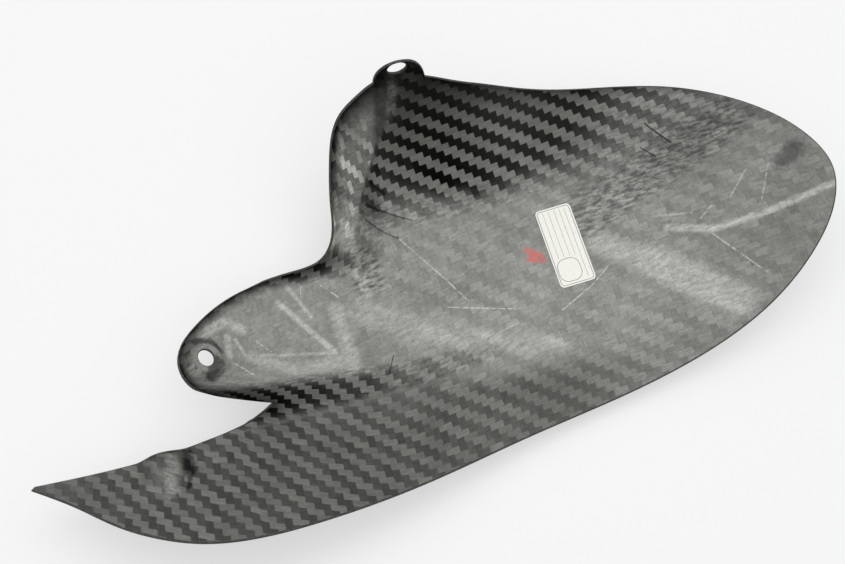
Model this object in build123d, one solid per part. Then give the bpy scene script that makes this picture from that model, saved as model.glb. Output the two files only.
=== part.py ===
from build123d import *
import math
import os

# All sizes in mm. While it is drawn, X runs back along the wheel's centre line,
# Y runs across the tyre to the plain side and Z points from the tread toward the axle.

# Laminate
WALL = 1.6

# Arch that clears the tyre, and the flatter run of the chain-side arm
ARCH_R = 335.0
ARM_R = 800.0
ARCH_END_X = 215.0

# Step between the lobe and the arm
STEP_Y = -36.0
STEP_W = 15.0

# Wall on the plain side, steep at the front and shallow at the rear
PLAIN_FOLD_Y = 34.0
PLAIN_FOLD_W = 46.0
PLAIN_STEEP = 64.0
PLAIN_SHALLOW = 10.0
PLAIN_FROM_X = -15.0
PLAIN_TO_X = 150.0

# Wall on the chain side
CHAIN_FOLD_Y = -38.0
CHAIN_FOLD_W = 34.0
CHAIN_STEEP = 31.0
CHAIN_SHALLOW = 8.0
CHAIN_FROM_X = -190.0
CHAIN_TO_X = 110.0

# Front flange, turned up ahead of its crease
FLANGE_SLOPE = 0.9
FLANGE_SOFT = 10.0
FLANGE_REACH = 45.0
FLANGE_FROM_Y = 16.0
FLANGE_TO_Y = 40.0
CREASE_X = -80.0
CREASE_Y = 22.0
CREASE_LEAN = 0.26

# Bulge at the arm's inner edge
BULGE_X = -221.0
BULGE_HALF = 13.0
BULGE_END_Y = -82.0
BULGE_FULL_Y = -60.0
BULGE_FADE_Y = -50.0
BULGE_H = 8.0

# Tab standing on the plain-side wall, its heights counted from the wall's edge
TAB_T = 2.0
TAB_X = -54.0
TAB_Y = 92.0
TAB_L = 28.0
TAB_H = 17.3
TAB_SUNK = 1.5
TAB_HOLE_R = 5.0
TAB_HOLE_AHEAD = 1.0
TAB_HOLE_RISE = 11.7

# Raised seat around the lobe's fixing hole
SEAT_X = -187.0
SEAT_Y = -20.7
SEAT_HOLE_R = 4.3
SEAT_TOP_R = 7.5
SEAT_FOOT_R = 12.0
SEAT_H = 3.0
SEAT_BORE_L = 24.0

# Label stuck on the tyre side
LABEL_X = 16.8
LABEL_Y = 5.9
LABEL_L = 48.0
LABEL_W = 20.6
LABEL_CORNER = 2.5
LABEL_T = 0.2
GLUE_T = 0.2

# Pitch at which the finished piece lies on a table
PITCH = 4.2

# How far upright cutters reach below and above the arch's lowest line
CUT_BELOW = 20.0
CUT_ABOVE = 200.0

# Half the span over which the surface's slope is read
SLOPE_SPAN = 0.5


def stations(start, *runs):
    places = [start]
    for stop, steps in runs:
        first = places[-1]
        places += [first + (stop - first) * k / steps for k in range(1, steps + 1)]
    return places


# Where the moulded surface is sectioned, closer together where it bends
SECTION_X = stations(-292, (173, 75))
SECTION_Y = stations(-121, (-66, 6), (-30, 9), (12, 4), (44, 6), (104, 7))


def ease(u):
    u = min(max(u, 0.0), 1.0)
    return u * u * (3 - 2 * u)


def fold(t, soft):
    u = min(max(t / soft, 0.0), 1.0)
    return t - soft / 2 if t > soft else soft * (u**3 - u**4 / 2)


def arch(x, r):
    s = min(abs(x), ARCH_END_X)
    drop = math.sqrt(r * r - s * s)
    return r - drop + (abs(x) - s) * s / drop


def turn(x, start, stop, steep, shallow):
    angle = steep + (shallow - steep) * ease((x - start) / (stop - start))
    return math.tan(math.radians(angle))


def height(x, y):
    z = arch(x, ARCH_R)
    # The arm leaves the arch ahead of its lowest line
    if x < 0:
        z += ease((STEP_Y - y) / STEP_W) * (arch(x, ARM_R) - arch(x, ARCH_R))
    # Side walls
    plain = turn(x, PLAIN_FROM_X, PLAIN_TO_X, PLAIN_STEEP, PLAIN_SHALLOW)
    z += plain * fold(y - PLAIN_FOLD_Y, PLAIN_FOLD_W)
    chain = turn(x, CHAIN_FROM_X, CHAIN_TO_X, CHAIN_STEEP, CHAIN_SHALLOW)
    z += chain * fold(CHAIN_FOLD_Y - y, CHAIN_FOLD_W)
    # Front flange
    ahead = min(CREASE_X + CREASE_LEAN * (y - CREASE_Y) - x, FLANGE_REACH)
    share = ease((y - FLANGE_FROM_Y) / (FLANGE_TO_Y - FLANGE_FROM_Y))
    z += FLANGE_SLOPE * share * fold(ahead, FLANGE_SOFT)
    # Bulge, a half cone that runs out toward the arm's outer edge
    across = min(abs(x - BULGE_X) / BULGE_HALF, 1.0)
    along = ease((y - BULGE_END_Y) / (BULGE_FULL_Y - BULGE_END_Y))
    along *= 1 - ease((y - BULGE_FADE_Y) / (STEP_Y - BULGE_FADE_Y))
    return z + BULGE_H * along * (1 - across**2) ** 2


def on_sheet(x, y):
    return Vector(x, y, height(x, y))


def upright(x, y):
    along = on_sheet(x + SLOPE_SPAN, y) - on_sheet(x - SLOPE_SPAN, y)
    across = on_sheet(x, y + SLOPE_SPAN) - on_sheet(x, y - SLOPE_SPAN)
    return along.cross(across).normalized()


# Moulded surface, skinned through its cross sections
spread = [(y - SECTION_Y[0]) / (SECTION_Y[-1] - SECTION_Y[0]) for y in SECTION_Y]
sections = [
    Wire([Edge.make_spline([on_sheet(x, y) for y in SECTION_Y], parameters=spread)])
    for x in SECTION_X
]
sheet = Shell.make_loft(sections).faces()[0]

# Outline seen from the tyre side: chain side and rear, tab, front and lobe, arm
tab_front = TAB_X - TAB_L / 2
tab_rear = TAB_X + TAB_L / 2
chain_edge = Spline(
    (-281.5, -58.5), (-262.7, -72.3), (-244.4, -87.9), (-226.9, -99.1), (-207, -107.4),
    (-182.6, -111.6), (-151.2, -111.4), (-101.2, -105.9), (-41, -95), (19, -86.3),
    (54, -80.2), (89.5, -70.7), (113.4, -60.4), (138.2, -43.3), (153, -26.6), (160.4, -6),
    (156.8, 14.8), (144, 38.9), (121.2, 62.2), (100, 74), (69.5, 81.2), (25, 83.4),
    (-11, 86.2), (tab_rear, TAB_Y),
)
tab_edge = Line((tab_rear, TAB_Y), (tab_front, TAB_Y))
lobe_edge = Spline(
    (tab_front, TAB_Y), (-81.8, 84.7), (-90.9, 78.5), (-96.4, 71.8), (-99.7, 64.7),
    (-104.5, 48), (-109, 32.1), (-116.8, 24.9), (-130.4, 21.6), (-152.1, 18.4),
    (-172.4, 9.6), (-188.4, -3.4), (-196.4, -14.1), (-198.6, -24), (-194, -35.4),
    (-181.5, -40.1), (-161, -43.8),
)
arm_edge = Spline(
    (-161, -43.8), (-171.8, -47.4), (-187, -50.1), (-210.8, -54.1), (-245, -57), (-281.5, -57)
)
arm_tip = Line((-281.5, -57), (-281.5, -58.5))
plan = make_face([chain_edge, tab_edge, lobe_edge, arm_edge, arm_tip])


def standing(region):
    return Pos(0, 0, -CUT_BELOW) * extrude(region, CUT_BELOW + CUT_ABOVE)


skin = (sheet & standing(plan)).faces()[0]
shell = Solid.thicken(skin, WALL, normal_override=(0, 0, -1))

# Tab with its fixing hole, its top edge drawn in shares of its length and height
tab_top = ((-0.404, 0.69), (-0.25, 0.92), (0.043, 1.0), (0.25, 0.86), (0.386, 0.57))
wall_edge = height(TAB_X, TAB_Y)
front_foot = (tab_front, height(tab_front, TAB_Y) - TAB_SUNK)
rear_foot = (tab_rear, height(tab_rear, TAB_Y) - TAB_SUNK)
tab_points = [(TAB_X + TAB_L * a, wall_edge + TAB_H * b) for a, b in tab_top]
tab_hole = (TAB_X - TAB_HOLE_AHEAD, wall_edge + TAB_HOLE_RISE)
tab_line = [Line(rear_foot, front_foot), Spline(front_foot, *tab_points, rear_foot)]
tab_plane = Plane((0, TAB_Y, 0), x_dir=(1, 0, 0), z_dir=(0, -1, 0))
tab_face = make_face(tab_line) - Pos(*tab_hole) * Circle(TAB_HOLE_R)
tab = extrude(tab_plane * tab_face, -TAB_T)

# Seat pressed up around the lobe's hole
seat_plane = Plane(on_sheet(SEAT_X, SEAT_Y), z_dir=upright(SEAT_X, SEAT_Y))
seat = Cone(
    SEAT_FOOT_R, SEAT_TOP_R, SEAT_H + WALL, align=(Align.CENTER, Align.CENTER, Align.MIN)
)
seat_over = seat_plane * Pos(0, 0, -WALL) * seat
seat_under = seat_plane * Pos(0, 0, -2 * WALL) * seat
seat_hole = seat_plane * Cylinder(SEAT_HOLE_R, SEAT_BORE_L)
shell = shell + tab + seat_over - seat_under - seat_hole

label_plan = Pos(LABEL_X, LABEL_Y) * RectangleRounded(LABEL_W, LABEL_L, LABEL_CORNER)
glue = Solid.thicken(skin, GLUE_T, normal_override=(0, 0, 1))
glue_and_label = Solid.thicken(skin, GLUE_T + LABEL_T, normal_override=(0, 0, 1))
label = (glue_and_label & standing(label_plan)) - glue

# Lying on its back as it comes to rest, centred over the origin
lying = Rot(0, -PITCH, 0)
box = (lying * shell).bounding_box()
place = Pos(-box.center().X, -box.center().Y, -box.min.Z) * lying

os.makedirs("parts", exist_ok=True)
for name, node in (("shell", shell), ("label", label)):
    node = place * node
    print(name, node.is_valid, round(node.volume), node.bounding_box())
    export_step(node, f"parts/{name}.step")
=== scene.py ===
# %% [markdown]
# The part is a rear hugger mudguard: one thin sheet of carbon cloth and resin, moulded to clear a
# tyre. It lies on its back here, so the hollow tyre side looks up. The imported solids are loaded
# first, because every size below has to agree with them.

# %% Load the frame
import math

import bpy
import numpy as np
from mathutils import Matrix, Vector
from mathutils.bvhtree import BVHTree
from mathutils.geometry import delaunay_2d_cdt


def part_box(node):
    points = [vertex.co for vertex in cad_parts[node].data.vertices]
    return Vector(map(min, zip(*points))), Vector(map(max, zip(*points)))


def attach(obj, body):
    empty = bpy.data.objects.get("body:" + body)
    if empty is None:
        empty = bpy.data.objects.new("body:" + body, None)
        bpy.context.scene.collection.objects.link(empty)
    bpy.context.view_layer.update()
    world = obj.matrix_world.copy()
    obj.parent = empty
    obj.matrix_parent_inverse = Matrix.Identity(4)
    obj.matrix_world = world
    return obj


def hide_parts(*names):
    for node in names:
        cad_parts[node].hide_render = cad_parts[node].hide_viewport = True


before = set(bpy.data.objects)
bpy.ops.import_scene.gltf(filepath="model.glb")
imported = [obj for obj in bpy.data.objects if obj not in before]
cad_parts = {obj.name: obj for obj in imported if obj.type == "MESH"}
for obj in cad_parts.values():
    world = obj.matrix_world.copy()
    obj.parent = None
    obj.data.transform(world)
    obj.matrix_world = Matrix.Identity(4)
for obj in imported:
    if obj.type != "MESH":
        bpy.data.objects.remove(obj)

MM = 0.001
scene = bpy.context.scene
scene.view_settings.view_transform = "Standard"
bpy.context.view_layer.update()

# %% [markdown]
# Node trees are sums, and a sum is easier to read as a line of arithmetic than as twenty nodes made
# by hand. This small helper lets a socket be added, multiplied or compared like a number, and each
# step becomes a Math node. It serves Geometry Nodes and materials alike.

# %% Arithmetic on sockets


def feed(tree, place, value):
    """Links a socket to an input, or sets the input to a constant."""
    value = value.socket if isinstance(value, Sum) else value
    if isinstance(value, bpy.types.NodeSocket):
        tree.links.new(value, place)
    else:
        place.default_value = value


class Sum:
    """A socket that can stand in a line of arithmetic."""

    def __init__(self, tree, socket):
        self.tree = tree
        self.socket = socket

    def step(self, operation, *others):
        node = self.tree.nodes.new("ShaderNodeMath")
        node.operation = operation
        for place, value in zip(node.inputs, (self,) + others):
            feed(self.tree, place, value)
        return Sum(self.tree, node.outputs[0])

    def __add__(self, other):
        return self.step("ADD", other)

    def __sub__(self, other):
        return self.step("SUBTRACT", other)

    def __mul__(self, other):
        return self.step("MULTIPLY", other)

    def __truediv__(self, other):
        return self.step("DIVIDE", other)

    def __neg__(self):
        return self.step("MULTIPLY", -1.0)

    __radd__ = __add__
    __rmul__ = __mul__

    def __rsub__(self, other):
        return (-self) + other

    def least(self, other):
        return self.step("MINIMUM", other)

    def most(self, other):
        return self.step("MAXIMUM", other)

    def power(self, other):
        return self.step("POWER", other)

    def root(self):
        return self.step("SQRT")

    def size(self):
        return self.step("ABSOLUTE")

    def tangent(self):
        return self.step("TANGENT")

    def below(self, other):
        return self.step("LESS_THAN", other)

    def whole(self):
        return self.step("FLOOR")

    def cycle(self, length):
        return self.step("FLOORED_MODULO", length)

    def ramp(self, start, stop, low=0.0, high=1.0):
        """Goes softly from low to high as the value goes from start to stop."""
        node = self.tree.nodes.new("ShaderNodeMapRange")
        node.interpolation_type = "SMOOTHSTEP"
        values = (self, start, stop, low, high)
        for name, value in zip(("Value", "From Min", "From Max", "To Min", "To Max"), values):
            feed(self.tree, node.inputs[name], value)
        return Sum(self.tree, node.outputs["Result"])


def parts_of(tree, socket):
    split = tree.nodes.new("ShaderNodeSeparateXYZ")
    tree.links.new(socket, split.inputs[0])
    return [Sum(tree, out) for out in split.outputs]


def joined(tree, x, y, z=0.0):
    node = tree.nodes.new("ShaderNodeCombineXYZ")
    for place, value in zip(node.inputs, (x, y, z)):
        feed(tree, place, value)
    return node.outputs[0]


# %% [markdown]
# The mould is a rule: an arch round the tyre, walls that fold up along both sides, a step where the
# chain-side arm leaves the arch, a flange at the front, a small bulge, an upright tab and a raised
# seat round the bolt hole. A sculpted mesh could only imitate that, so a Geometry Nodes tree presses
# any flat mesh with it. The lengths are inputs in metres, and the drawing frame has its origin on
# the crown.

# %% The sizes of the mould, as in the solids
WALL = 1.6 * MM
SIZES = {
    "Arch radius": 335 * MM, "Arm radius": 800 * MM, "Arch end": 215 * MM,
    "Step at": -36 * MM, "Step width": 15 * MM,
    "Plain fold at": 34 * MM, "Plain fold width": 46 * MM,
    "Plain steep": math.radians(64), "Plain shallow": math.radians(10),
    "Plain from": -15 * MM, "Plain to": 150 * MM,
    "Chain fold at": -38 * MM, "Chain fold width": 34 * MM,
    "Chain steep": math.radians(31), "Chain shallow": math.radians(8),
    "Chain from": -190 * MM, "Chain to": 110 * MM,
    "Flange slope": 0.9, "Flange soft": 10 * MM, "Flange reach": 45 * MM,
    "Flange from": 16 * MM, "Flange to": 40 * MM,
    "Crease X": -80 * MM, "Crease Y": 22 * MM, "Crease lean": 0.26,
    "Bulge X": -221 * MM, "Bulge half": 13 * MM, "Bulge end": -82 * MM,
    "Bulge full": -60 * MM, "Bulge fade": -50 * MM, "Bulge height": 8 * MM,
    "Tab Y": 92 * MM, "Tab bend": 3 * MM,
    "Seat X": -187 * MM, "Seat Y": -20.7 * MM, "Seat top": 7.5 * MM, "Seat foot": 12 * MM,
    "Seat height": 3 * MM,
    "Pitch": math.radians(-4.2),
}
# Where the drawing's origin comes to lie in the frame, after the pitch
LIES_AT = Vector((63.428, 9.418, 3.240)) * MM
# How much the seat's round shrinks lengthwise when it is seen from above
SEAT_LEAN = math.sqrt(1 - (SIZES["Seat X"] / SIZES["Arch radius"]) ** 2)
seat_angle = round(math.degrees(math.acos(SEAT_LEAN)))
print("mould has", len(SIZES), "sizes, and its seat leans by", seat_angle, "degrees")

# %% Inputs of the tree that presses a flat mesh
press = bpy.data.node_groups.new("press_in_mould", "GeometryNodeTree")
press.interface.new_socket("Mesh", in_out="INPUT", socket_type="NodeSocketGeometry")
for name, value in SIZES.items():
    entry = press.interface.new_socket(name, in_out="INPUT", socket_type="NodeSocketFloat")
    entry.default_value = value
press.interface.new_socket("Finish", in_out="INPUT", socket_type="NodeSocketMaterial")
press.interface.new_socket("Mesh", in_out="OUTPUT", socket_type="NodeSocketGeometry")
given = press.nodes.new("NodeGroupInput")
size = {name: Sum(press, given.outputs[name]) for name in SIZES}
print("press tree takes", len(given.outputs) - 1, "inputs")

# %% Height of the mould over a flat place


def fold(t, soft):
    """A bend that starts at nought, is done after a soft stretch and rises one for one from there."""
    u = (t / soft).most(0.0).least(1.0)
    return soft * (u.power(3.0) - u.power(4.0) * 0.5) + (t - soft).most(0.0)


def arch(x, radius):
    """Height of a round arch, which runs on straight past its end."""
    s = x.size().least(size["Arch end"])
    drop = (radius * radius - s * s).root()
    return radius - drop + (x.size() - s) * s / drop


def wall_slope(x, side):
    start, stop = size[side + " from"], size[side + " to"]
    return x.ramp(start, stop, size[side + " steep"], size[side + " shallow"]).tangent()


x, flat_y, _ = parts_of(press, press.nodes.new("GeometryNodeInputPosition").outputs[0])
# The tab: past its foot the sheet turns upright
risen = fold(flat_y - size["Tab Y"] + size["Tab bend"], size["Tab bend"] * 2.0)
y = flat_y - risen
# Arch and arm
ahead = x.below(0.0)
on_arm = (size["Step at"] - y).ramp(0.0, size["Step width"]) * ahead
lift = arch(x, size["Arch radius"])
lift = lift + on_arm * (arch(x, size["Arm radius"]) - lift)
# Side walls
lift = lift + wall_slope(x, "Plain") * fold(y - size["Plain fold at"], size["Plain fold width"])
lift = lift + wall_slope(x, "Chain") * fold(size["Chain fold at"] - y, size["Chain fold width"])
# Front flange
past = size["Crease X"] + size["Crease lean"] * (y - size["Crease Y"]) - x
share = y.ramp(size["Flange from"], size["Flange to"])
lift = lift + size["Flange slope"] * share * fold(past.least(size["Flange reach"]), size["Flange soft"])
# Bulge
across = ((x - size["Bulge X"]).size() / size["Bulge half"]).least(1.0)
along = y.ramp(size["Bulge end"], size["Bulge full"])
along = along * (1.0 - y.ramp(size["Bulge fade"], size["Step at"]))
lift = lift + size["Bulge height"] * along * (1.0 - across * across).power(2.0)
# Seat, raised square to the sheet
from_seat = ((x - size["Seat X"]) / SEAT_LEAN).power(2.0) + (y - size["Seat Y"]).power(2.0)
seat_rise = size["Seat height"] * from_seat.root().ramp(size["Seat foot"], size["Seat top"])
print("height rule has", len(press.nodes), "nodes")

# %% Press the mesh, lay it down and hand it out
pressed = press.nodes.new("GeometryNodeSetPosition")
press.links.new(given.outputs["Mesh"], pressed.inputs["Geometry"])
press.links.new(joined(press, x, y, lift + risen), pressed.inputs["Position"])
square = press.nodes.new("ShaderNodeVectorMath")
square.operation = "SCALE"
press.links.new(press.nodes.new("GeometryNodeInputNormal").outputs[0], square.inputs[0])
feed(press, square.inputs["Scale"], seat_rise)
seated = press.nodes.new("GeometryNodeSetPosition")
press.links.new(pressed.outputs[0], seated.inputs["Geometry"])
press.links.new(square.outputs[0], seated.inputs["Offset"])
laid = press.nodes.new("GeometryNodeTransform")
laid.inputs["Translation"].default_value = LIES_AT
press.links.new(seated.outputs[0], laid.inputs["Geometry"])
press.links.new(joined(press, 0.0, size["Pitch"], 0.0), laid.inputs["Rotation"])
solid = press.nodes.new("GeometryNodeRealizeInstances")
painted = press.nodes.new("GeometryNodeSetMaterial")
leaves = press.nodes.new("NodeGroupOutput")
press.links.new(laid.outputs[0], solid.inputs[0])
press.links.new(solid.outputs[0], painted.inputs["Geometry"])
press.links.new(given.outputs["Finish"], painted.inputs["Material"])
press.links.new(painted.outputs[0], leaves.inputs[0])
print("press tree has", len(press.nodes), "nodes")


def press_flat(flat, sizes):
    """Presses a flat mesh into a plain mesh. Its finish comes later, when it has a wall."""
    blank = bpy.data.objects.new("blank", flat)
    scene.collection.objects.link(blank)
    modifier = blank.modifiers.new("press", "NODES")
    modifier.node_group = press
    for entry in press.interface.items_tree:
        if entry.in_out == "INPUT" and entry.name in sizes:
            modifier[entry.identifier] = sizes[entry.name]
    graph = bpy.context.evaluated_depsgraph_get()
    result = bpy.data.meshes.new_from_object(blank.evaluated_get(graph))
    bpy.data.objects.remove(blank)
    return result


# %% [markdown]
# The cloth isn't painted on from above: it was laid from the crown outwards, so its pattern follows
# lengths measured over the surface. A ruled sheet pressed in the same mould gives those lengths. Its
# rows are added up from the centre line, along the wheel and across it.

# %% Lengths over the mould
RULE_X = np.arange(-296, 177, 2) * MM
RULE_Y = np.arange(-124, 113, 2) * MM
ruled = bpy.data.meshes.new("ruled")
corner = np.arange(len(RULE_X) * len(RULE_Y)).reshape(len(RULE_X), len(RULE_Y))
squares = np.stack([corner[:-1, :-1], corner[1:, :-1], corner[1:, 1:], corner[:-1, 1:]], 2)
ruled.from_pydata([(a, b, 0) for a in RULE_X for b in RULE_Y], [], squares.reshape(-1, 4).tolist())
ruled = press_flat(ruled, {**SIZES, "Bulge height": 0.0})
points = np.empty(len(ruled.vertices) * 3)
ruled.vertices.foreach_get("co", points)
points = points.reshape(len(RULE_X), len(RULE_Y), 3)
bpy.data.meshes.remove(ruled)
zero_x, zero_y = np.abs(RULE_X).argmin(), np.abs(RULE_Y).argmin()


def run_of(axis, zero):
    lengths = np.linalg.norm(np.diff(points, axis=axis), axis=2)
    total = np.cumsum(np.insert(lengths, 0, 0, axis=axis), axis=axis)
    return total - np.take(total, [zero], axis=axis)


def read(table, xs, ys):
    """Reads a ruled table between its points."""
    a = np.clip((xs - RULE_X[0]) / (RULE_X[1] - RULE_X[0]), 0, len(RULE_X) - 1.001)
    b = np.clip((ys - RULE_Y[0]) / (RULE_Y[1] - RULE_Y[0]), 0, len(RULE_Y) - 1.001)
    i, j = a.astype(int), b.astype(int)
    a, b = a - i, b - j
    low = table[i, j] * (1 - b) + table[i, j + 1] * b
    high = table[i + 1, j] * (1 - b) + table[i + 1, j + 1] * b
    return low * (1 - a) + high * a


length_along, length_across = run_of(0, zero_x), run_of(1, zero_y)
print("over the crown", round(float(length_along[-1, zero_y] - length_along[0, zero_y]) / MM), "mm")

# %% [markdown]
# The blank is the flat shape that the mould's edge trims. Its outline is a few smooth lines, with
# the tab unfolded flat. The tab stands on the wall's edge, so its points are reckoned from the
# height of that edge, which the ruled sheet gives.

# %% Smooth lines and the height of the wall's edge
TAB_Y = SIZES["Tab Y"]
drawn_z = ((points - np.array(LIES_AT)) @ np.array(Matrix.Rotation(SIZES["Pitch"], 3, "Y")))[:, :, 2]


def wall_top(xs):
    """Height of the plain-side wall at the tab's foot, read a little above the bend."""
    above = 6 * MM
    return read(drawn_z, np.asarray(xs), np.full(np.shape(xs), TAB_Y + above)) - above


def smooth_line(knots, spacing=1.6 * MM):
    """Points along the natural cubic spline through the knots."""
    p = np.array(knots)
    t = np.insert(np.cumsum(np.linalg.norm(np.diff(p, axis=0), axis=1)), 0, 0)
    h = np.diff(t)[:, None]
    bends = np.eye(len(t))
    pull = np.zeros_like(p)
    for k in range(1, len(t) - 1):
        bends[k, k - 1:k + 2] = h[k - 1, 0], 2 * (h[k - 1, 0] + h[k, 0]), h[k, 0]
        pull[k] = 6 * ((p[k + 1] - p[k]) / h[k] - (p[k] - p[k - 1]) / h[k - 1])
    m = np.linalg.solve(bends, pull)
    s = np.linspace(0, t[-1], int(t[-1] / spacing) + 2)
    k = np.clip(np.searchsorted(t, s, "right") - 1, 0, len(t) - 2)
    b = (s - t[k])[:, None] / h[k]
    a = 1 - b
    return a * p[k] + b * p[k + 1] + ((a**3 - a) * m[k] + (b**3 - b) * m[k + 1]) * h[k] ** 2 / 6


def mm(*knots):
    return [(a * MM, b * MM) for a, b in knots]


# %% Outline of the blank
TAB_X, TAB_L, TAB_H = -54 * MM, 28 * MM, 17.3 * MM
tab_rear, tab_front = (TAB_X + TAB_L / 2, TAB_Y), (TAB_X - TAB_L / 2, TAB_Y)
# From the arm's tip along the chain side, round the rear end and back to the tab
long_edge = mm(
    (-281.5, -58.5), (-262.7, -72.3), (-244.4, -87.9), (-226.9, -99.1), (-207, -107.4),
    (-182.6, -111.6), (-151.2, -111.4), (-101.2, -105.9), (-41, -95), (19, -86.3),
    (54, -80.2), (89.5, -70.7), (113.4, -60.4), (138.2, -43.3), (153, -26.6), (160.4, -6),
    (156.8, 14.8), (144, 38.9), (121.2, 62.2), (100, 74), (69.5, 81.2), (25, 83.4), (-11, 86.2),
) + [tab_rear]
# Round the flange and the lobe to the notch
lobe_edge = [tab_front] + mm(
    (-81.8, 84.7), (-90.9, 78.5), (-96.4, 71.8), (-99.7, 64.7), (-104.5, 48), (-109, 32.1),
    (-116.8, 24.9), (-130.4, 21.6), (-152.1, 18.4), (-172.4, 9.6), (-188.4, -3.4), (-196.4, -14.1),
    (-198.6, -24), (-194, -35.4), (-181.5, -40.1), (-161, -43.8),
)
arm_edge = mm(
    (-161, -43.8), (-171.8, -47.4), (-187, -50.1), (-210.8, -54.1), (-245, -57), (-281.5, -57),
)
# Places along the tab and heights up it, as shares of its length and height
TAB_SHARES = ((0.386, 0.57), (0.25, 0.86), (0.043, 1.0), (-0.25, 0.92), (-0.404, 0.69))
tab_edge = [tab_rear]
for along_tab, up_tab in TAB_SHARES:
    at = TAB_X + along_tab * TAB_L
    tab_edge.append((at, float(TAB_Y + wall_top(TAB_X) + up_tab * TAB_H - wall_top(at))))
tab_edge.append(tab_front)
outline = np.concatenate([smooth_line(e)[:-1] for e in (long_edge, tab_edge, lobe_edge, arm_edge)])
print("outline has", len(outline), "points")
print("tab rises", round((outline[:, 1].max() - TAB_Y) / MM, 1), "mm from the wall's edge")

# %% Holes of the tab and the seat
TAB_HOLE_X, TAB_HOLE_UP, TAB_HOLE_R = -55 * MM, 11.7 * MM, 5 * MM
SEAT_HOLE_R = 4.3 * MM
HOLE_POINTS = 28
turns = np.linspace(0, 2 * math.pi, HOLE_POINTS, endpoint=False)
hole_x = TAB_HOLE_X + TAB_HOLE_R * np.cos(turns)
hole_up = wall_top(TAB_X) + TAB_HOLE_UP + TAB_HOLE_R * np.sin(turns)
tab_hole = np.stack([hole_x, TAB_Y + hole_up - wall_top(hole_x)], 1)
around = np.stack([np.cos(turns) * SEAT_LEAN, np.sin(turns)], 1)
seat_at = np.array((SIZES["Seat X"], SIZES["Seat Y"]))
seat_hole = seat_at + SEAT_HOLE_R * around
loops = [outline, tab_hole, seat_hole]
print("blank has", len(loops) - 1, "holes")

# %% [markdown]
# Inside the outline goes an even field of points, and a Delaunay triangulation joins them, so every
# triangle is about the same size and the pressed surface shades smoothly. A grid of squares would
# leave steps along the trimmed edge. Round the seat the points lie in rings, as its slope does.

# %% The flat blank
GRID = 2.0 * MM
EDGE_CLEAR = 0.7 * GRID
SEAT_RINGS = (5.4, 6.5, 7.5, 8.6, 9.8, 11.0, 12.0, 13.2)
SEAT_CLEAR = 14.2 * MM
SAME_POINT = 1e-7


def inside(ps):
    """Whether each point is in the outline and outside the holes, by counting crossings."""
    hits = np.zeros(len(ps), int)
    for loop in loops:
        a, b = loop, np.roll(loop, -1, axis=0)
        for (ax, ay), (bx, by) in zip(a, b):
            spans = (ay > ps[:, 1]) != (by > ps[:, 1])
            at = ax + (ps[:, 1] - ay) / (by - ay if by != ay else 1.0) * (bx - ax)
            hits += spans & (ps[:, 0] < at)
    return hits % 2 == 1


low, high = outline.min(axis=0), outline.max(axis=0)
rows = np.arange(low[1], high[1], GRID * math.sqrt(3) / 2)
field = np.array([
    (a, b) for k, b in enumerate(rows) for a in np.arange(low[0] + (k % 2) * GRID / 2, high[0], GRID)
])
field = field[np.linalg.norm((field - seat_at) / (SEAT_LEAN, 1), axis=1) > SEAT_CLEAR]
edges_at = np.concatenate(loops)
clear = np.array([np.min(np.abs(edges_at - p).sum(axis=1)) for p in field]) > EDGE_CLEAR
field = field[clear]
rings = np.concatenate([seat_at + r * MM * around for r in SEAT_RINGS])
field = np.concatenate([field[inside(field)], rings])
chains, start = [], 0
for loop in loops:
    chains += [(start + k, start + (k + 1) % len(loop)) for k in range(len(loop))]
    start += len(loop)
everything = [Vector(p) for p in np.concatenate([edges_at, field])]
corners, _, triangles, *_ = delaunay_2d_cdt(everything, chains, [], 0, SAME_POINT)
flat = np.array([tuple(c) for c in corners])
triangles = np.array(triangles)
triangles = triangles[inside(flat[triangles].mean(axis=1))]
used = np.unique(triangles)
renumber = np.full(len(flat), -1)
renumber[used] = np.arange(len(used))
flat, triangles = flat[used], renumber[triangles]
print("blank has", len(flat), "points and", len(triangles), "triangles")

# %% [markdown]
# The pressed skin has no thickness yet. Solidify could give it one, but a Bevel after it would have
# to find the rim again, and the arm's tip is too sharp for that. The wall is built directly instead:
# a second skin one wall lower, and a rim of narrow rings between them, round at both corners as a
# trimmed and rubbed edge is. Every ring's normal is known, so the gloss runs true up to the edge.

# %% Press the blank and find its rim
blank_mesh = bpy.data.meshes.new("flat_blank")
blank_mesh.from_pydata([(a, b, 0) for a, b in flat], [], triangles.tolist())
skin = press_flat(blank_mesh, SIZES)
count = len(skin.vertices)
co, up = np.empty(count * 3), np.empty(count * 3)
skin.vertices.foreach_get("co", co)
skin.vertex_normals.foreach_get("vector", up)
co, up = co.reshape(-1, 3), up.reshape(-1, 3)
directed = np.concatenate([triangles[:, [0, 1]], triangles[:, [1, 2]], triangles[:, [2, 0]]])
pairs = set(map(tuple, directed.tolist()))
rim_edges = np.array([(a, b) for a, b in directed.tolist() if (b, a) not in pairs])
after = dict(rim_edges.tolist())
before = {b: a for a, b in after.items()}
rim = np.array(sorted(after))
place_in_rim = {v: k for k, v in enumerate(rim.tolist())}
run = co[[after[v] for v in rim.tolist()]] - co[[before[v] for v in rim.tolist()]]
out = np.cross(run, up[rim])
out /= np.linalg.norm(out, axis=1, keepdims=True)
print("skin has", count, "points,", len(rim), "of them on the rim")
print("on average it faces up by", round(float(up[:, 2].mean()), 2))

# %% Rings round the rim
EDGE_R = 0.5 * MM
HALF_TURNED = math.sqrt(0.5)
round_off = EDGE_R * (1 - HALF_TURNED)
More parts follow.
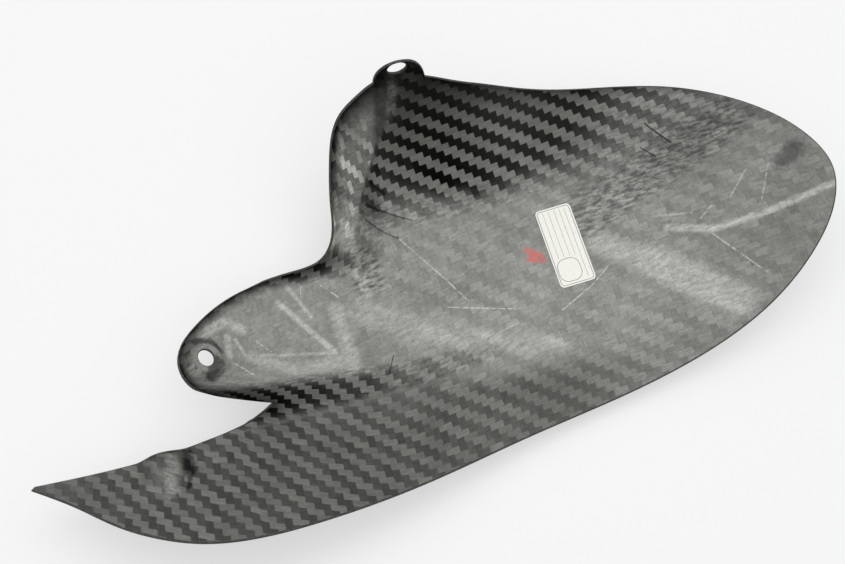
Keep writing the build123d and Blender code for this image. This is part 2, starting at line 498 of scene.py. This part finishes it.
# Inset and depth of each ring, then how much its normal looks outwards and upwards
profile = [
    (round_off, round_off, HALF_TURNED, HALF_TURNED), (0, EDGE_R, 1, 0),
    (0, WALL - EDGE_R, 1, 0), (round_off, WALL - round_off, HALF_TURNED, -HALF_TURNED),
]
edge_at = co[rim].copy()
co[rim] = edge_at - out * EDGE_R
rings_at = [edge_at - out * inset - up[rim] * depth for inset, depth, _, _ in profile]
rings_up = [out * o + up[rim] * n for _, _, o, n in profile]
every_co = np.concatenate([co, co - up * WALL] + rings_at)
every_up = np.concatenate([up, -up] + rings_up)
source = np.concatenate([np.arange(count), np.arange(count)] + [rim] * len(profile))
rings_from = [2 * count + k * len(rim) for k in range(len(profile))]
ring_of = [rim] + [first + np.arange(len(rim)) for first in rings_from] + [rim + count]
a_end = np.array([place_in_rim[a] for a in rim_edges[:, 0].tolist()])
b_end = np.array([place_in_rim[b] for b in rim_edges[:, 1].tolist()])
quads = np.concatenate([
    np.stack([high_ring[a_end], low_ring[a_end], low_ring[b_end], high_ring[b_end]], 1)
    for high_ring, low_ring in zip(ring_of, ring_of[1:])
])
print("rim has", len(profile), "rings and", len(quads), "faces")

# %% Join both skins and the rim
TYRE_SIDE, ROAD_SIDE, CUT_EDGE = 0, 1, 2
CHECK_EVERY = 7
shell_mesh = bpy.data.meshes.new("shell_skin")
faces = triangles.tolist() + (triangles[:, ::-1] + count).tolist() + quads.tolist()
shell_mesh.from_pydata(every_co.tolist(), [], faces)
finish_of = [TYRE_SIDE] * len(triangles) + [ROAD_SIDE] * len(triangles) + [CUT_EDGE] * len(quads)
shell_mesh.polygons.foreach_set("material_index", finish_of)
shell_mesh.polygons.foreach_set("use_smooth", [True] * len(faces))
shell_mesh.normals_split_custom_set_from_vertices(every_up.tolist())
shell = bpy.data.objects.new("shell_laminate", shell_mesh)
scene.collection.objects.link(shell)
tree_of_solid = BVHTree.FromPolygons(
    [v.co[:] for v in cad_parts["shell"].data.vertices],
    [p.vertices[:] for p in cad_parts["shell"].data.polygons],
)
apart = [tree_of_solid.find_nearest(v)[3] for v in every_co[::CHECK_EVERY].tolist()]
print("shell has", len(faces), "faces")
print("from the solid", round(float(np.mean(apart)) / MM, 3), "mm,", round(max(apart) / MM, 2), "at most")

# %% [markdown]
# The cloth is a two by two twill of tows about 4 mm wide. Its lay is a UV map counted in tows: one
# number counts across the weft tows and the other across the warp. A planar projection would stretch
# on the steep wall, so the counts come from the lengths over the mould, with a slow drift where the
# cloth slewed as it was pushed into the folds, and a turn of its own along the arm.

# %% The lay of the cloth
# Tows counted over one run along and one run across, then three terms for the slow drift
TOW_RUN = (150 * MM, 100 * MM)
WEFT_LAY = (4.5, -24.6, -4.1, 0.27, 0.35)
WARP_LAY = (-37.9, -1.6, 1.8, 0.3, -1.5)
# Forward of the first line and on the chain side of the second, the sets gain these tows per metre
ARM_TURN_AT, ARM_TURN_W = -78 * MM, 60 * MM
ARM_SIDE_AT, ARM_SIDE_W = -28 * MM, 14 * MM
WEFT_TURN, WARP_TURN = 128, -14
s = read(length_along, flat[:, 0], flat[:, 1]) / TOW_RUN[0]
t = read(length_across, flat[:, 0], flat[:, 1]) / TOW_RUN[1]
terms = np.stack([s, t, s * s, s * t, t * t])
turned = np.clip((ARM_TURN_AT - flat[:, 0]) / ARM_TURN_W, 0, 1)
turned = ARM_TURN_W * (turned**3 - turned**4 / 2) + np.maximum(ARM_TURN_AT - flat[:, 0] - ARM_TURN_W, 0)
down_step = np.clip((ARM_SIDE_AT - flat[:, 1]) / ARM_SIDE_W, 0, 1)
turned = turned * down_step**2 * (3 - 2 * down_step)
weft = np.array(WEFT_LAY) @ terms + WEFT_TURN * turned
warp = np.array(WARP_LAY) @ terms + WARP_TURN * turned
lay = np.stack([weft, warp], 1)[source]
cloth_map = shell_mesh.uv_layers.new(name="cloth")
corner_of = np.empty(len(shell_mesh.loops), int)
shell_mesh.loops.foreach_get("vertex_index", corner_of)
cloth_map.data.foreach_set("uv", lay[corner_of].ravel())
print("cloth spans", int(np.ptp(weft)), "weft tows and", int(np.ptp(warp)), "warp tows")

# %% [markdown]
# Along the plain side and the lobe the sheet rolls over at its rim. The roll isn't modelled: its
# shade is painted into the colour as a dark band. A texture can't know where the trimmed edge runs.
# So the distance to the outline is stored on the points as an attribute, for the finish to read.

# %% Where the rolled rim gets painted shade
LIP_W, LIP_FROM_Y = 7 * MM, -45 * MM
LIP_FADES_AT, LIP_ENDS_AT = 50 * MM, 130 * MM
lip_line = outline[outline[:, 1] > LIP_FROM_Y]
to_lip = np.array([np.min(np.hypot(*(lip_line - p).T)) for p in flat])
# Painted shade: strongest at the edge, gone LIP_W in, and fading out towards the rear
rim_shade = np.clip(1 - to_lip / LIP_W, 0, 1) ** 1.5
rim_shade *= np.clip((LIP_ENDS_AT - flat[:, 0]) / (LIP_ENDS_AT - LIP_FADES_AT), 0, 1)
lip_values = shell_mesh.attributes.new("rim_shade", "FLOAT", "POINT")
lip_values.data.foreach_set("value", rim_shade[source])
print("lip runs along", len(lip_line), "outline points")

# %% [markdown]
# Carbon cloth glitters because each fibre is a polished rod: it throws light into a fan square to
# itself and nowhere else. On a steep wall one set of tows shines while the other stays black. The
# shader does the same. Its highlight is stretched across the fibres, and turns a quarter wherever
# the other set of tows comes up. One group counts the tows and says which set is on top.

# %% Cloth as a shader group
# Two over and two under: the pattern comes round every four tows
REPEAT = 4.0
WANDER = 0.4
RELIEF_H = 0.07 * MM
# Numbers far apart, so that the noise of the two sets has nothing in common
WEFT_STREAKS_AT, WARP_FLOATS_AT = 31.0, 517.0


def pick(mask, yes, no):
    return no + mask * (yes - no)


def speckle(tree, where, scale, detail, roughness=0.5):
    node = tree.nodes.new("ShaderNodeTexNoise")
    for name, value in (("Scale", scale), ("Detail", detail), ("Roughness", roughness)):
        node.inputs[name].default_value = value
    tree.links.new(where, node.inputs["Vector"])
    return node


def object_place(tree):
    return tree.nodes.new("ShaderNodeTexCoord").outputs["Object"]


cloth = bpy.data.node_groups.new("carbon_cloth", "ShaderNodeTree")
for name in ("Weft up", "Relief", "Strand", "Luck", "Crumple"):
    cloth.interface.new_socket(name, in_out="OUTPUT", socket_type="NodeSocketFloat")
cloth.interface.new_socket("Normal", in_out="OUTPUT", socket_type="NodeSocketVector")
leaves = cloth.nodes.new("NodeGroupOutput")
counts = cloth.nodes.new("ShaderNodeUVMap")
counts.uv_map = "cloth"
u, v, _ = parts_of(cloth, counts.outputs[0])
# Tows wander a little
drift_u, drift_v, _ = parts_of(cloth, speckle(cloth, object_place(cloth), 45.0, 1.0).outputs["Color"])
u = u + (drift_u - 0.5) * WANDER
v = v + (drift_v - 0.5) * WANDER
row, column = u.whole(), v.whole()
weft_up = (row + column).cycle(REPEAT).below(1.5)
across_tow = pick(weft_up, u - row, v - column)
along_float = pick(weft_up, (v + row).cycle(REPEAT), (u + column).cycle(REPEAT) - 2.0) * 0.5
relief = 1.0 - (across_tow * 2.0 - 1.0).power(4.0) * 0.5 - (along_float * 2.0 - 1.0).power(2.0) * 0.5
# Streaks along the fibres
streak_at = joined(
    cloth, pick(weft_up, u, v) * 8.0, pick(weft_up, v, u) * 0.5, weft_up * WEFT_STREAKS_AT
)
strand = speckle(cloth, streak_at, 1.0, 3.0, 0.7)
# Where the cloth was slack it crumpled along the weft
crumple = speckle(cloth, joined(cloth, u * 2.2, v * 0.65), 1.0, 3.0, 0.6)
# Each float came out a little lighter or darker
float_number = pick(weft_up, (v + row) / REPEAT, (u + column - 2.0) / REPEAT).whole()
float_at = joined(cloth, pick(weft_up, row, column + WARP_FLOATS_AT), float_number)
luck = cloth.nodes.new("ShaderNodeTexWhiteNoise")
luck.noise_dimensions = "2D"
cloth.links.new(float_at, luck.inputs["Vector"])
bump = cloth.nodes.new("ShaderNodeBump")
bump.inputs["Distance"].default_value = RELIEF_H
feed(cloth, bump.inputs["Height"], relief)
found = {
    "Weft up": weft_up, "Relief": relief, "Strand": strand.outputs[0],
    "Luck": luck.outputs["Value"], "Crumple": crumple.outputs[0], "Normal": bump.outputs[0],
}
for name, value in found.items():
    feed(cloth, leaves.inputs[name], value)
print("cloth group has", len(cloth.nodes), "nodes")

# %% [markdown]
# Use has marked the tyre side: broad scuffs where something rubbed on the tow tops, thin scratches,
# a hair crack and a few dark marks, a dab of red paint. Dents, wrinkles and the steep faces of the
# bulge and the seat get painted shade. Seen from above each is a line with a width, so one short
# chain of vector nodes draws each, and noise breaks up their edges.

# %% Marks of use
# Ends in mm as seen from above, then width and strength
SCUFFS = (
    # Behind the label
    (97, 11, 121, -7, 19, 0.5), (121, -7, 156, -47, 32, 0.55),
    (136, 6.4, 157, -3, 7, 0.6), (157, -3, 181, -5, 7, 0.7), (181, -5, 218, -5, 6, 0.7),
    # Along the crown
    (-41, 4, -3, -17, 26, 0.35), (-3, -17, 59, -39, 22, 0.3),
    # On the lobe
    (-84, 16, -62, -15, 6, 0.6), (-77, 24, -69, 6, 4, 0.5), (-126, 3, -113, 8.5, 9, 0.5),
    (-113, 8.5, -105, 2.5, 9, 0.5), (-114, 0, -114.5, -10, 5, 0.5), (-110, -2, -107, -11, 3, 0.5),
    (-107, -11, -61, -16, 3, 0.4), (-105, -12, -83, -22, 10, 0.4), (-83, -22, -56, -21, 12, 0.4),
    (-55, 8, -54, -25, 14, 0.4),
    # On the flange, along the crease, below the tab and on the bulge
    (-32.5, 83, -34, 75, 6, 0.6), (-37, 36, -36, 14, 10, 0.4), (0, 99, -3, 92, 8, 0.25),
    (-157.5, -67, -153.5, -50, 12, 0.4),
)
SCRATCHES = (
    # On the lobe
    (-60, 23.5, -52, 15, 1.3, 0.9), (-70, 24, -72.5, 14, 1.1, 0.5), (-100, -4, -94, -10.5, 1.2, 0.8),
    (-114, -14, -105, -22, 1.3, 0.8),
    # Along the crown
    (-9.5, 43, 6.5, 18, 1.3, 0.8), (6.5, 18, 18, -1.5, 1.3, 0.8), (5.5, -2.5, 45, -13.5, 1.3, 0.9),
    (26, -24, 43, -20.5, 1.5, 0.6), (99, -3.5, 87, -11.5, 1.2, 0.8), (87, -11.5, 66.5, -20.5, 1.2, 0.8),
    # At the rear
    (156, -5, 174, -37, 1.4, 0.8), (171.5, 10.5, 183.5, 22, 1.1, 0.7), (184, 0.5, 194.5, 20, 1.1, 0.6),
    (153.5, 5, 161.5, 10, 1.3, 0.7), (134.5, 14.5, 150.5, 10, 2, 0.5), (172.5, 49, 185.5, 49, 1.0, 0.7),
)
DARK_MARKS_AND_SHADE = (
    # Painted shade in dents and wrinkles behind the crease
    (-25.5, 53.5, -18, 49, 2, 0.8), (-18, 49, -9.5, 43, 1.6, 0.7), (-23.5, 61.5, -13.5, 59, 2.4, 0.8),
    (-13.5, 59, 1, 52, 1.8, 0.7), (-18.5, 71, -11.5, 67, 3.5, 0.7),
    # Rear
    (144, 69, 154, 54, 1.6, 0.9), (138, 57, 144, 49, 1.4, 0.8), (201, 18.5, 208, 21, 15, 0.55),
    # Hair crack; painted shade on the bulge's steep face and on the seat's lower flank
    (-31.5, -23, -36.5, -32, 0.9, 0.8), (-147, -47, -147, -58, 11, 0.9), (-147, -58, -149, -67, 4, 0.8),
    (-166, -48, -152, -46, 1.5, 0.6), (-121, -13, -126, -21, 7, 0.7), (-122, 0, -118, -8, 3, 0.4),
)
PAINT_MARKS = ((58.5, 13, 65.5, 10.5, 6, 1), (60.5, 15.5, 65, 13, 7, 1), (59, 18.5, 63, 15.5, 7, 0.7))
# Shares of the width: how far a mark reaches to each side, and how much of that is its fade
MARK_REACH, MARK_FADE = 0.45, 0.36


def vector_step(tree, operation, *values):
    node = tree.nodes.new("ShaderNodeVectorMath")
    node.operation = operation
    for place, value in zip(node.inputs, values):
        feed(tree, place, value)
    return node


def draw_marks(tree, place, ragged, marks):
    """Strongest mark at a place, which is given in mm and seen from above."""
    strongest = None
    for x1, y1, x2, y2, width, strength in marks:
        run = Vector((x2 - x1, y2 - y1, 0))
        from_end = vector_step(tree, "SUBTRACT", place, Vector((x1, y1, 0))).outputs[0]
        along = vector_step(tree, "DOT_PRODUCT", from_end, run / run.length_squared).outputs["Value"]
        along = Sum(tree, along).most(0.0).least(1.0)
        on_line = vector_step(tree, "SCALE", run)
        feed(tree, on_line.inputs["Scale"], along)
        away = Sum(tree, vector_step(tree, "DISTANCE", from_end, on_line.outputs[0]).outputs["Value"])
        mask = (away * (1 / width) + ragged).ramp(-MARK_FADE, 0.0, strength, 0.0)
        strongest = strongest.most(mask) if strongest else mask
    return strongest


print(len(SCUFFS), "scuffs,", len(SCRATCHES), "scratches and", len(DARK_MARKS_AND_SHADE), "dark marks")

# %% [markdown]
# Every finish starts from one Principled shader. Two things are shared by the finishes of both sides:
# a faint warm cast, and the laying of the cloth, which turns the highlight with the fibres.

# %% Tools for the finishes
GREY_CAST = (1.0, 1.0, 0.93)
QUARTER_TURN = 0.25


def new_finish(name, **constants):
    finish = bpy.data.materials.new(name)
    finish.use_nodes = True
    tree = finish.node_tree
    shader = tree.nodes["Principled BSDF"]
    for socket, value in constants.items():
        shader.inputs[socket.replace("_", " ")].default_value = value
    return finish, tree, shader


def warm_grey(tree, shade):
    return joined(tree, *[shade * share for share in GREY_CAST])


def lay_cloth(tree, shader):
    node = tree.nodes.new("ShaderNodeGroup")
    node.node_tree = cloth
    weft_up, relief, strand, luck, crumple = [
        Sum(tree, node.outputs[name]) for name in ("Weft up", "Relief", "Strand", "Luck", "Crumple")
    ]
    across = tree.nodes.new("ShaderNodeTangent")
    across.direction_type, across.uv_map = "UV_MAP", "cloth"
    tree.links.new(across.outputs[0], shader.inputs["Tangent"])
    feed(tree, shader.inputs["Anisotropic Rotation"], QUARTER_TURN - weft_up * QUARTER_TURN)
    tree.links.new(node.outputs["Normal"], shader.inputs["Normal"])
    uneven = (0.88 + luck * 0.24) * (0.5 + strand)
    return weft_up, relief, uneven, crumple, luck


# %% [markdown]
# The tyre side faced the vacuum bag. Where the sheet lay flat a skin of resin dulls the cloth, and
# there its colour is also made paler, a painted sheen for the light that faces turned up catch. On the
# steep walls the bare weave shows. Which is which comes from the sheet's own tilt and place, so the
# masks follow its shape. Painted maps would have to be drawn again for every change of the mould.

# %% Zones of the tyre side
tyre_finish, tree, shader = new_finish("carbon_tyre_side", IOR=1.6, Anisotropic=1.0)
weft_up, relief, uneven, crumple, luck = lay_cloth(tree, shader)
where = object_place(tree)
tilt_x, tilt_y, facing_up = parts_of(tree, tree.nodes.new("ShaderNodeNewGeometry").outputs["Normal"])
lean_in = -tilt_y
patches = Sum(tree, speckle(tree, where, 28.0, 4.0, 0.6).outputs[0])
fine = Sum(tree, speckle(tree, where, 420.0, 3.0, 0.65).outputs[0])
grit = Sum(tree, speckle(tree, where, 1300.0, 2.0, 0.6).outputs[0])
rim_shade_node = tree.nodes.new("ShaderNodeAttribute")
rim_shade_node.attribute_name = "rim_shade"


def band(value, rise, fall):
    """One between a rise and a fall, each given by its start and stop."""
    return value.ramp(*rise) * value.ramp(*fall, 1.0, 0.0)


# Limits in mm: x runs to the rear, y to the plain side
x, y, z = [part / MM for part in parts_of(tree, where)]
arm_side = (-34.0 - y).ramp(0.0, 8.0) * (30.0 - x).ramp(0.0, 80.0)
leaning = tilt_y.ramp(0.05, 0.5).most(arm_side)
rear_wall = x.ramp(55.0, 110.0) * y.ramp(34.0, 56.0)
# The flange lies before the crease, which bends back towards the tab
beyond = y - 38.0
crease_x = beyond * (0.25 + beyond * 0.0065) - 36.0
flange = (crease_x - x).ramp(-1.5, 2.5) * y.ramp(30.0, 42.0)
behind = (x - crease_x).ramp(-2.5, 1.5) * y.ramp(50.0, 62.0) * x.ramp(20.0, 60.0, 1.0, 0.0)
slope_x = tilt_x.size() * (1.0 - behind)
# Painted shade of the rolled rim, weaker on the flange away from the tab
painted_rim_shade = Sum(tree, rim_shade_node.outputs["Fac"]) * (1.0 - flange * y.ramp(50.0, 78.0, 0.8, 0.0))
on_wall = lean_in.ramp(0.0, 0.35) * (1.0 - flange)
# Slack cloth: on the wall, in pleats behind the label and in a ladder beside the crease
pleats = band(y - x * 0.3, (-18.0, -8.0), (6.0, 26.0)) * band(x, (70.0, 100.0), (185.0, 208.0)) * 0.9
ladder = band(x, (-45.0, -38.0), (-28.0, -20.0)) * band(y, (10.0, 18.0), (34.0, 44.0))
slack = lean_in.ramp(0.02, 0.15) * lean_in.ramp(0.45, 0.8, 0.4, 0.0)
slack = slack.most(pleats).most(ladder)
print("zones have", len(tree.nodes), "nodes")

# %% [markdown]
# Haze and shine share the surface: where the resin dulled the cloth it can't shine. Both are painted
# into the colour. The haze brings a painted sheen where the sheet faces up. On a steep wall the weft
# tows get a painted highlight for the light from above they would catch, and the warp tows stay dark
# for the dark of the room they would reflect. Single floats came out dull or bare by chance, so the
# border between the two follows the weave.

# %% Haze with painted sheen, and painted shine, of the tyre side
steep = x.ramp(-20.0, 50.0, 0.22, 0.82) - x.ramp(55.0, 130.0, 0.0, 0.3)
steep = (steep + (crumple - 0.5) * 0.25 + (luck - 0.5) * 0.2).least(0.93)
# Dull where the sheet faces up or tilts lengthwise, and paler there as painted sheen; less of it on the
# arm and where the sheet faces the plain side, and none on the rim's painted shade
dull_and_lit = facing_up.ramp(steep, 1.0).most(slope_x.ramp(0.15, 0.45)) * (1.0 - painted_rim_shade)
haze_and_sheen = dull_and_lit * (1.0 - leaning * 0.75) * patches.ramp(0.2, 0.7, 0.8, 1.05)
haze_and_sheen = haze_and_sheen * x.ramp(140.0, 200.0, 1.0, 0.9)
# Painted light: the wall is made paler and less metallic towards the rear
painted_wall_light = on_wall * x.ramp(20.0, 75.0, 0.05, 0.55)
# Painted highlight: a tow is lighter where the sheet tilts across its fibres, least at the wall's top
painted_shine = pick(weft_up, lean_in.ramp(0.0, 0.6), slope_x.ramp(0.2, 0.8)) * (1.0 - dull_and_lit)
painted_shine = painted_shine * z.ramp(20.0, 75.0, 0.17, 0.012) * y.ramp(-45.0, -20.0, 0.55, 1.0)
painted_shine = painted_shine * x.ramp(20.0, 100.0, 1.0, 0.75)
grain = 0.23 + (grit - 0.5) * 0.16 + (fine - 0.5) * 0.14
# The tone: painted shine, the haze's painted sheen with its grain, and the wall's painted light
shade = 0.03 + painted_shine + leaning * 0.016 + haze_and_sheen * grain + painted_wall_light * 0.07
# Weft and warp differ most on the arm. On the wall the warp gets painted shade, for the dark room it
# would reflect, and on the rear wall both are darker
woven = leaning * x.ramp(-215.0, -165.0, 0.0, 0.17) * x.ramp(-90.0, 40.0, 1.0, 0.0)
weft_tone = 1.10 + woven - rear_wall * 0.2
warp_tone = 0.86 - woven * 0.8 - on_wall * 0.2 - rear_wall * 0.3
shade = shade * pick(weft_up, weft_tone, warp_tone)
# Painted gleam on single warp floats of the flange; its weft is lighter at the flange's foot and darker
# towards the tab
gleam = pick(weft_up, y.ramp(44.0, 68.0, 0.18, -0.10), luck.ramp(0.1, 0.9, 0.08, 0.42))
shade = shade + flange * gleam * y.ramp(80.0, 94.0, 1.0, 0.2)
shade = shade * pick(leaning, 0.93 + luck * 0.14, 1.0) * uneven
shade = shade * pick(slack, crumple.ramp(0.36, 0.62, 0.30, 1.20), 0.65 + crumple * 0.7)
print("haze and shine bring it to", len(tree.nodes), "nodes")

# %% [markdown]
# The marks of use come last, on top of the haze with its painted sheen, and the weave. Scuffs take to
# the tow tops and scratches break off where they skip a hollow. Then the hollows between tows and the
# rolled rim get painted shade. The shader is a dull coat where the cloth is hazed or scuffed, and a
# dark metal where it is bare, as polished fibres are.

# %% Marks on the tyre side
RED_DAB = (0.62, 0.12, 0.10)
seen_at = joined(tree, x, y)
ragged = (fine - 0.5) * 0.5 + (patches - 0.5) * 0.4 - MARK_REACH
light = draw_marks(tree, seen_at, ragged, SCUFFS) * crumple.ramp(0.3, 0.65, 0.55, 1.1)
light = light * grit.ramp(0.32, 0.66, 0.75, 1.05)
light = light.most(draw_marks(tree, seen_at, ragged, SCRATCHES) * fine.ramp(0.38, 0.58, 0.1, 1.0))
light = light * relief.ramp(0.1, 0.6, 0.6, 1.0)
# Dark marks, and painted shade in dents and on the steep faces of the bulge and the seat
dark = draw_marks(tree, seen_at, ragged, DARK_MARKS_AND_SHADE)
paint = draw_marks(tree, seen_at, ragged, PAINT_MARKS) * fine.ramp(0.35, 0.6, 0.5, 1.0)
# Scuffs lighten the tone, and the hollows between tows get painted shade
shade = (shade + light * 0.4) * relief.ramp(0.0, 0.4, 0.7, 1.0)
# Dark marks with their painted shade, then the rolled rim's painted shade
shade = shade * (1.0 - dark) * (1.0 - painted_rim_shade * 0.7)
tinted = [pick(paint, dab, shade * share) for dab, share in zip(RED_DAB, GREY_CAST)]
tree.links.new(joined(tree, *tinted), shader.inputs["Base Color"])
coated = haze_and_sheen.most(light).most(leaning).most(painted_wall_light)
feed(tree, shader.inputs["Metallic"], (1.0 - coated * 0.9) * (1.0 - paint))
feed(tree, shader.inputs["Roughness"], 0.52 + haze_and_sheen * 0.06)
shell_mesh.materials.append(tyre_finish)
print("tyre side has", len(tree.nodes), "nodes")

# %% [markdown]
# The road side lay against the polished mould, so its resin is a clear smooth layer over black cloth.
# The shader's own clear coat is that layer, and below it comes the same cloth group.

# %% Finish of the road side
road_finish, tree, shader = new_finish("carbon_road_side", IOR=1.6, Anisotropic=1.0, Metallic=1.0,
                                       Roughness=0.5, Coat_Weight=1.0, Coat_Roughness=0.05)
weft_up, relief, uneven, _, _ = lay_cloth(tree, shader)
# Painted shade in the hollows between tows
shade = (0.055 + weft_up * 0.02) * uneven * relief.ramp(0.0, 0.35, 0.5, 1.0)
tree.links.new(warm_grey(tree, shade), shader.inputs["Base Color"])
shell_mesh.materials.append(road_finish)
print("road side has", len(tree.nodes), "nodes")

# %% [markdown]
# The trimmed edge shows the plies end on: a dull dark line with paler threads in it. On a band so
# narrow, fine noise on the piece's own coordinates is enough.

# %% Finish of the trimmed edge
edge_finish, tree, shader = new_finish("laminate_edge")
plies = Sum(tree, speckle(tree, object_place(tree), 900.0, 3.0, 0.7).outputs[0])
tree.links.new(warm_grey(tree, 0.02 + plies.ramp(0.4, 0.75) * 0.07), shader.inputs["Base Color"])
feed(tree, shader.inputs["Roughness"], 0.42 + plies * 0.3)
shell_mesh.materials.append(edge_finish)
print("shell has", len(shell_mesh.materials), "finishes")

# %% [markdown]
# The label is a white film with a printed border, ruled columns and a blank box. Its print is drawn
# from the middle of the label's own box, so it stays on the label if that moves.

# %% Finish of the label
# Sizes in mm, places from the label's middle
STROKE, RULE_HALF = 0.35, 0.13
RULE_SOFT, END_SOFT = 0.03, 0.1
BORDER_W, BORDER_L, BORDER_CORNER = 18.6, 46.0, 1.8
BLANK_X, BLANK_Y = -2.2, -14.6
BLANK_W, BLANK_L, BLANK_CORNER = 12.6, 13.6, 5.0
SHORT_COLUMNS, COLUMNS_FROM, COLUMNS_TO = (-6.0, -2.8, 0.6, 3.6), -7.0, 22.0
LONG_COLUMN, LONG_HALF = 6.4, 21.5
label_low, label_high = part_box("label")
label_finish, tree, shader = new_finish("label_print", Roughness=0.45)
where = object_place(tree)
x, y, _ = [part / MM for part in parts_of(tree, where)]
x = x - (label_low.x + label_high.x) / 2 / MM
y = y - (label_low.y + label_high.y) / 2 / MM


def box_line(x, y, width, length, corner):
    """Ink along the edge of a rounded box."""
    over_x, over_y = x.size() - (width / 2 - corner), y.size() - (length / 2 - corner)
    outside = (over_x.most(0.0).power(2.0) + over_y.most(0.0).power(2.0)).root()
    away = outside + over_x.most(over_y).least(0.0)
    return (away - corner).size().ramp(STROKE * 0.4, STROKE * 0.6, 1.0, 0.0)


def ruled_line(x, at):
    return (x - at).size().ramp(RULE_HALF - RULE_SOFT, RULE_HALF + RULE_SOFT, 0.8, 0.0)


ink = box_line(x, y, BORDER_W, BORDER_L, BORDER_CORNER)
ink = ink.most(box_line(x - BLANK_X, y - BLANK_Y, BLANK_W, BLANK_L, BLANK_CORNER))
ruled_part = band(y, (COLUMNS_FROM, COLUMNS_FROM + END_SOFT), (COLUMNS_TO, COLUMNS_TO + END_SOFT))
for column in SHORT_COLUMNS:
    ink = ink.most(ruled_line(x, column) * ruled_part)
long_part = y.size().ramp(LONG_HALF, LONG_HALF + END_SOFT, 1.0, 0.0)
ink = ink.most(ruled_line(x, LONG_COLUMN) * long_part)
dust = Sum(tree, speckle(tree, where, 600.0, 3.0, 0.6).outputs[0])
film = 0.80 - dust.ramp(0.5, 0.8) * 0.10
tree.links.new(warm_grey(tree, film * (1.0 - ink * 0.75)), shader.inputs["Base Color"])
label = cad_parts["label"]
label.material_slots[0].material = label_finish
print("label is", [round((b - a) / MM, 1) for a, b in zip(label_low, label_high)], "mm")

# %% [markdown]
# The stage is a plain pale floor. Seen directly the paper is half lit from within, so the shadow on
# it stays pale. More light could do that too, but it would bleach the part.

# %% Floor
FLOOR_HALF = 40
INNER_LIGHT, INNER_SHARE = 0.93, 0.55
floor_mesh = bpy.data.meshes.new("floor")
floor_corners = [(a * FLOOR_HALF, b * FLOOR_HALF, 0) for a, b in ((-1, -1), (1, -1), (1, 1), (-1, 1))]
floor_mesh.from_pydata(floor_corners, [], [(0, 1, 2, 3)])
floor = bpy.data.objects.new("floor", floor_mesh)
scene.collection.objects.link(floor)
floor_paint, paper, matt = new_finish("floor_paper", Base_Color=(0.86, 0.87, 0.865, 1), Roughness=0.9)
path = paper.nodes.new("ShaderNodeLightPath")
seen = Sum(paper, path.outputs["Is Camera Ray"])
for other in ("Is Glossy Ray", "Is Transmission Ray"):
    seen = seen.most(Sum(paper, path.outputs[other]))
inner_light = paper.nodes.new("ShaderNodeEmission")
inner_light.inputs["Strength"].default_value = INNER_LIGHT
mixed = paper.nodes.new("ShaderNodeMixShader")
feed(paper, mixed.inputs["Fac"], seen * INNER_SHARE)
paper.links.new(matt.outputs[0], mixed.inputs[1])
paper.links.new(inner_light.outputs[0], mixed.inputs[2])
paper.links.new(mixed.outputs[0], paper.nodes["Material Output"].inputs["Surface"])
floor_mesh.materials.append(floor_paint)
print("floor is", 2 * FLOOR_HALF, "m wide")

# %% [markdown]
# Carbon shows its weave only when there is something bright to reflect from one side and something
# dark from another. So most of the light is a dome that is bright overhead and dark at the horizon,
# and a weak soft box gives the shadow its direction.

# %% Light
LAMP_AT, LAMP_AIM = Vector((0, 0.30, 1.15)), Vector((0, 0.02, 0))
lamp = bpy.data.lights.new("overhead", "AREA")
lamp.shape = "RECTANGLE"
lamp.size, lamp.size_y, lamp.energy = 1.7, 0.55, 4.5
soft_box = bpy.data.objects.new("overhead", lamp)
soft_box.location = LAMP_AT
soft_box.rotation_euler = (LAMP_AIM - LAMP_AT).to_track_quat("-Z", "Y").to_euler()
scene.collection.objects.link(soft_box)
world = bpy.data.worlds.new("room")
world.use_nodes = True
sky = world.node_tree
_, _, height_of_ray = parts_of(sky, sky.nodes.new("ShaderNodeTexCoord").outputs["Generated"])
feed(sky, sky.nodes["Background"].inputs["Strength"], height_of_ray.ramp(0.30, 0.80, 0.08, 1.20))
sky.nodes["Background"].inputs["Color"].default_value = (1, 1, 1, 1)
scene.world = world
print("soft box gives", lamp.energy, "W")

# %% [markdown]
# The camera looks down steeply, as at a part on a table, so the floor alone is the background. Its
# stand and its turn are given in the drawing frame, and then pitched with the part.

# %% Camera
STAND = Vector((-129.7, -206.4, 613.7)) * MM
lens = bpy.data.cameras.new("camera")
lens.sensor_fit, lens.sensor_width, lens.lens = "HORIZONTAL", 36, 50
camera = bpy.data.objects.new("camera", lens)
lying = Matrix.Rotation(SIZES["Pitch"], 3, "Y")
turn = Matrix.Rotation(math.radians(-16.5), 3, "Z")
tip = Matrix.Rotation(math.radians(20), 3, "X")
camera.matrix_world = Matrix.Translation(lying @ STAND + LIES_AT) @ (lying @ turn @ tip).to_4x4()
scene.collection.objects.link(camera)
scene.camera = camera
print("camera stands", round(camera.matrix_world.translation.z, 2), "m above the floor")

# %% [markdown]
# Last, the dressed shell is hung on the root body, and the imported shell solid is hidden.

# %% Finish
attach(shell, "root")
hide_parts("shell")
